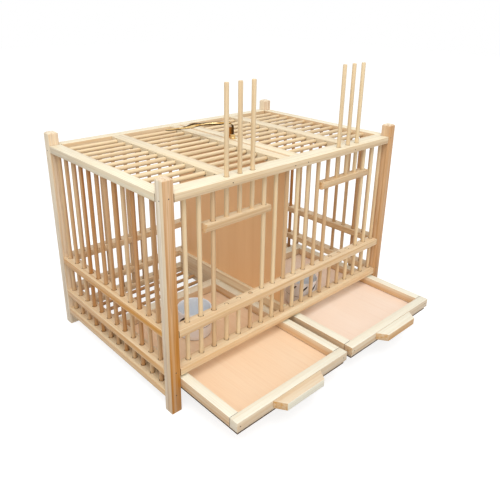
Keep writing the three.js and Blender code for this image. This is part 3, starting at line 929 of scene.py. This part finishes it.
# cups
cups = {"sides": 56, "smooth": 60,
        "profile": [(22.4, 1.6), (24.2, 1.4), (24.9, 0.4), (25.8, 0.0), (26.8, 0.1), (27.5, 0.7),
                    (28.3, 1.7), (29.1, 3.0), (29.7, 5.0), (29.95, 8.0), (30.1, 20.0), (30.3, 36.0),
                    (30.5, 48.5), (30.35, 51.0), (29.6, 52.0), (28.6, 51.7), (28.0, 50.4), (27.8, 40.0),
                    (27.6, 24.0), (27.3, 14.0), (26.2, 9.6), (23.4, 7.0), (18.0, 6.0), (10.0, 5.9)]}
for hand in hands:
    low, high = boxOf(f"{hand}_cup")
    cup = makeTurned(f"{hand}Cup", cups["sides"], (*middleOf(low, high)[:2], low[2]), cups["profile"])
    smoothSides(cup, cups["smooth"])
    finishPiece(cup, f"{hand}_tray", f"{hand}_cup", [f"{hand}China"])
print("cups made")

# brass hook, lying over the roof
hook = {"axis": (12.5, 75.4), "foot": 351.3, "bearing": 131.5, "sides": 16, "bevelSteps": 4,
        "plate": {"wide": 10.4, "from": -7.5, "to": 18.5, "thick": 1.2, "corner": 2.5, "ease": 0.3},
        "boss": [(5.0, 1.1), (5.0, 2.1), (4.6, 2.6), (4.5, 6.0), (4.7, 6.5), (4.5, 7.2), (4.0, 7.5),
                 (2.6, 7.5), (2.5, 7.3), (2.5, 4.6), (3.5, 4.6), (3.5, 1.3)],
        "bossSides": 28,
        "tab": {"wide": 9.0, "foot": 0.1, "tall": 19.0, "thick": 1.6, "place": (1.4, 8.4), "turn": 136,
                "corner": 2.0, "ease": 0.25},
        "screw": {"away": 15.0, "profile": [(2.1, 1.1), (2.1, 1.6), (1.6, 2.1), (0.7, 2.3)],
                  "slotHalf": (3, 0.3), "slotSpan": (1.75, 4)},
        "brown": {"from": 2.4, "bossTop": 7.6, "bossEdge": 5.2},  # the tab is browner than plate and boss
        "shank": [(3.2, 1.5), (3.2, 4.1), (2.2, 4.1), (2.2, 9.0), (2.2, 15.0), (2.2, 21.0)],
        # reach from the axis and height over the roof bar
        "path": [(0, 21), (0.9, 24.2), (2.6, 26.5), (5, 27.7), (9, 27.9), (15, 27.2), (23.5, 26.1),
                 (35, 25.5), (47.6, 24.5), (55, 23.4), (58.5, 22.8), (62.4, 22.1), (66, 21.6), (69, 21.1),
                 (72, 20.6), (75, 19.9), (78, 19.0), (81, 18.0), (84, 17.0), (87, 16.1), (93, 14.8),
                 (101, 13.2), (110, 11.8), (118, 10.8), (122, 10.5), (124, 10.4)],
        # reach, width and thickness against the shank's, twist in degrees
        "section": [(0, 1.0, 1.0, 0), (5, 1.15, 1.15, 0), (18, 1.25, 1.25, 0), (26, 1.55, 1.5, 0),
                    (50, 1.55, 1.5, 0), (62, 1.8, 1.1, 25), (72, 2.4, 0.9, 50), (80, 2.1, 0.9, 50),
                    (90, 1.4, 1.05, 20), (96, 1.2, 1.1, 0), (118, 1.0, 1.0, 0), (122, 0.85, 0.85, 0),
                    (124, 0.5, 0.5, 0)],
        # where the arm gets painted shade and dark reflection
        "dark": {"elbow": (3.5, 25.0), "under": -0.05, "leaf": (60.0, 92.0), "leafRise": 1.5,
                 "ridge": 0.8, "ridgeFrom": 6.0}}


def roundCorners(piece, wanted, radius):
    pickEdges(piece, wanted)
    bpy.ops.mesh.bevel(offset=radius * mm, segments=hook["bevelSteps"])
    leaveEdit()


def makeHookBase():
    x, y = hook["axis"]
    foot, plate, tab, screw, brown = (hook[key] for key in ("foot", "plate", "tab", "screw", "brown"))
    half = plate["wide"] / 2
    strip = addBlock("hookPlate", [x - half, y + plate["from"], foot],
                     [x + half, y + plate["to"], foot + plate["thick"]])
    roundCorners(strip, lambda a, b: abs(a.z - b.z) > plate["thick"] / 2, plate["corner"])
    easeEdges(strip, plate["ease"])
    boss = makeTurned("hookBoss", hook["bossSides"], (x, y, foot), hook["boss"])
    screwY = y + screw["away"]
    head = makeTurned("hookScrew", hook["sides"], (x, screwY, foot), screw["profile"])
    long, wide = screw["slotHalf"]
    low, high = screw["slotSpan"]
    cutWith(head, addBlock("screwSlot", [x - long, screwY - wide, foot + low],
                           [x + long, screwY + wide, foot + high]))
    half = [tab["wide"] / 2, tab["thick"] / 2]
    flag = addBlock("hookTab", [-half[0], -half[1], tab["foot"]], [*half, tab["tall"]])
    roundCorners(flag, lambda a, b: min(a.z, b.z) > tab["tall"] / 2 and abs(a.y - b.y) > half[1],
                 tab["corner"])
    easeEdges(flag, tab["ease"])
    flag.rotation_euler = (0, 0, math.radians(tab["turn"]))
    flag.location = inMetres((x + tab["place"][0], y + tab["place"][1], foot))
    settle(flag)
    base = joinAll([strip, boss, head, flag], "hookBase")
    smoothSides(base)
    finishPiece(base, "cage", "hook_base", ["wornBrass", "brownBrass"])
    markFaces(base, 1, lambda c, n: c.z > foot + brown["from"] and (
        c.z > foot + brown["bossTop"] or math.hypot(c.x - x, c.y - y) > brown["bossEdge"]))


def readOff(table, reach):  # what stands at that reach, between the rows before and after it
    for before, after in zip(table, table[1:]):
        if reach <= after[0]:
            share = (reach - before[0]) / (after[0] - before[0])
            return [a + (b - a) * share for a, b in zip(before[1:], after[1:])]
    return table[-1][1:]


def makeHookArm():
    arm = drawUp("hookArm", hook["sides"], (0, 0, 0), hook["shank"])
    path, dark = hook["path"], hook["dark"]
    wide, thick, twist, slope = 1.0, 1.0, 0.0, math.pi / 2
    for i in range(1, len(path)):
        (r0, z0), (r1, z1) = path[i - 1], path[i]
        after = path[min(i + 1, len(path) - 1)]
        growFaces((r1 - r0, 0, z1 - z0))
        here = inMetres((r1, 0, z1))
        aim = math.atan2(after[1] - z0, after[0] - r0)
        nextWide, nextThick, nextTwist = readOff(hook["section"], r1)
        if twist:
            bpy.ops.transform.rotate(value=math.radians(-twist), orient_axis="X", center_override=here)
        bpy.ops.transform.rotate(value=slope - aim, orient_axis="Y", center_override=here)
        bpy.ops.transform.resize(value=(1, nextWide / wide, nextThick / thick), center_override=here)
        if nextTwist:
            bpy.ops.transform.rotate(value=math.radians(nextTwist), orient_axis="X", center_override=here)
        wide, thick, twist, slope = nextWide, nextThick, nextTwist, aim
    leaveEdit()
    rightWayOut(arm)
    smoothSides(arm, bench["smoothRound"])
    finishPiece(arm, "hook", "hook_arm", ["wornBrass", "agedBrass"])

    def darkened(centre, normal):  # painted shade and dark reflection: the shank, the underside, the top ridge and the leaf's upper edge
        reach, height = centre.x, centre.z
        leafStart, leafEnd = dark["leaf"]
        if (reach < dark["elbow"][0] and height < dark["elbow"][1]) or normal.z < dark["under"]:
            return True
        if dark["ridgeFrom"] < reach < leafStart and normal.z > dark["ridge"]:
            return True
        return leafStart < reach < leafEnd and height > readOff(path, reach)[0] + dark["leafRise"]

    markFaces(arm, 1, darkened)
    arm.rotation_euler = (0, 0, math.radians(hook["bearing"]))
    arm.location = inMetres((*hook["axis"], hook["foot"]))
    settle(arm)


makeHookBase()
makeHookArm()
print("hook made")

# nail heads
nails = {"sides": 12, "radius": 1.0, "sunk": 0.2, "proud": 0.12, "tipShare": 0.7, "crossbarRise": 345.0,
         "wander": 1.4, "side": 342.5, "joints": (347.0, 73.0, 32.5),
         "crossbars": (-143.7, -12.5, 20.0, 145.0), "trayInset": 7.0, "trayRise": 8.0}


def makeNails(name, body, heads):  # heads: place and the way it faces
    wide, proud = nails["radius"], nails["proud"]
    model = makeTurned("nail", nails["sides"], (0, 0, 0), [
        (wide, -nails["sunk"]), (wide, proud / 2), (wide * nails["tipShare"], proud)])
    placed = []
    for place, facingWay in heads:
        twin = copyOf(model)
        slip = [0 if facingWay[k] else dice.uniform(-1, 1) * nails["wander"] for k in range(3)]
        twin.location = inMetres(a + b for a, b in zip(place, slip))
        twin.rotation_euler = Vector(facingWay).to_track_quat("Z", "Y").to_euler()
        settle(twin)
        placed.append(twin)
    discard(model)
    joined = joinAll(placed, name)
    smoothSides(joined)
    finishPiece(joined, body, None, ["nailSteel"])


heads = []
for depth in ("front", "back"):
    outward = sideWays[depth]
    for hand in hands:
        low, high = boxOf(f"post_{depth}_{hand}")
        x, y, z = middleOf(low, high)
        faceY = low[1] if depth == "front" else high[1]
        heads += [((x, faceY, z), outward) for z in nails["joints"]]
        heads.append(((low[0] if hand == "left" else high[0], y, nails["side"]), sideWays[hand]))
    low, high = boxOf(f"{depth}_top_rail")
    faceY = low[1] if depth == "front" else high[1]
    heads += [((x, faceY, nails["crossbarRise"]), outward) for x in nails["crossbars"]]
makeNails("frameNails", "cage", heads)
for hand in hands:
    low, high = boxOf(f"{hand}_tray_front_bar")
    inset, z = nails["trayInset"], low[2] + nails["trayRise"]
    makeNails(f"{hand}TrayNails", f"{hand}_tray",
              [((x, low[1], z), sideWays["front"]) for x in (low[0] + inset, high[0] - inset)])
print("nails made")

# floor, light and camera
studio = {"world": 0.62, "floorShade": 0.42, "floorGlow": 0.77, "floorSize": 12, "floorDrop": 0.5}
white = (1, 1, 1, 1)


def seenDirectly(tree):
    paths = addNode(tree, "LightPath", {}).outputs
    seen = mathNode(tree, "MAXIMUM", paths["Is Camera Ray"], paths["Is Glossy Ray"])
    return mathNode(tree, "MAXIMUM", seen, paths["Is Transmission Ray"])


def makeFloor():
    dropSelection()
    bpy.ops.mesh.primitive_plane_add(size=studio["floorSize"], location=(0, 0, -studio["floorDrop"] * mm))
    floor = nameAdded("studioFloor")
    material, tree, shader = freshMaterial("paleFloor")
    feed(tree, shader, {"Base Color": (*[studio["floorShade"]] * 3, 1), "Roughness": 1.0,
                        "Specular IOR Level": 0.0})
    strength = mathNode(tree, "MULTIPLY", seenDirectly(tree), studio["floorGlow"])
    glow = addNode(tree, "Emission", {"Color": white, "Strength": strength})
    both = addNode(tree, "AddShader", {0: shader.outputs[0], 1: glow.outputs[0]})
    feed(tree, tree.nodes["Material Output"], {"Surface": both.outputs[0]})
    floor.data.materials.append(material)


def makeWorld():
    world = bpy.data.worlds.new("studioAir")
    bpy.context.scene.world = world
    world.use_nodes = True
    tree = world.node_tree
    lifted = mathNode(tree, "MULTIPLY_ADD", seenDirectly(tree), 1 - studio["world"], studio["world"])
    feed(tree, tree.nodes["Background"], {"Color": white, "Strength": lifted})


def addLamp(name, place, aim, size, strength):
    lamp = bpy.data.lights.new(name, "AREA")
    lamp.shape = "SQUARE"
    lamp.size = size
    away = Vector(place) - Vector(aim)
    lamp.energy = strength * (math.pi * away.length) ** 2  # strength 1 lights a facing white card to 1
    lampObject = bpy.data.objects.new(name, lamp)
    lampObject.location = place
    lampObject.rotation_euler = (-away).to_track_quat("-Z", "Y").to_euler()
    bpy.context.collection.objects.link(lampObject)


makeFloor()
makeWorld()
lamps = {"aim": (0, 0.07, 0.2), "size": 2.0,
         "keyLamp": {"place": (-0.85, -1.05, 2.7), "strength": 0.6},
         "frontLamp": {"place": (-1.5, -2.2, 0.9), "strength": 0.14}}
for name in ("keyLamp", "frontLamp"):
    addLamp(name, lamps[name]["place"], lamps["aim"], lamps["size"], lamps[name]["strength"])

cameraView = {"place": (-0.6279, -0.6485, 0.5869), "turn": -43.55, "down": 21.85, "roll": 1.03,
              "lens": 38.86, "sensor": 36, "shiftX": -0.0006, "shiftY": -0.0687}
camera = bpy.data.cameras.new("viewCamera")
camera.lens = cameraView["lens"]
camera.sensor_width = cameraView["sensor"]
camera.shift_x = cameraView["shiftX"]
camera.shift_y = cameraView["shiftY"]
cameraObject = bpy.data.objects.new("viewCamera", camera)
bpy.context.collection.objects.link(cameraObject)
aimed = (Matrix.Rotation(math.radians(cameraView["turn"]), 4, "Z")
         @ Matrix.Rotation(math.radians(90 - cameraView["down"]), 4, "X")
         @ Matrix.Rotation(math.radians(cameraView["roll"]), 4, "Z"))
cameraObject.rotation_euler = aimed.to_euler()
cameraObject.location = cameraView["place"]
bpy.context.scene.camera = cameraObject
bpy.context.scene.view_settings.view_transform = "Standard"

print("scene ready")
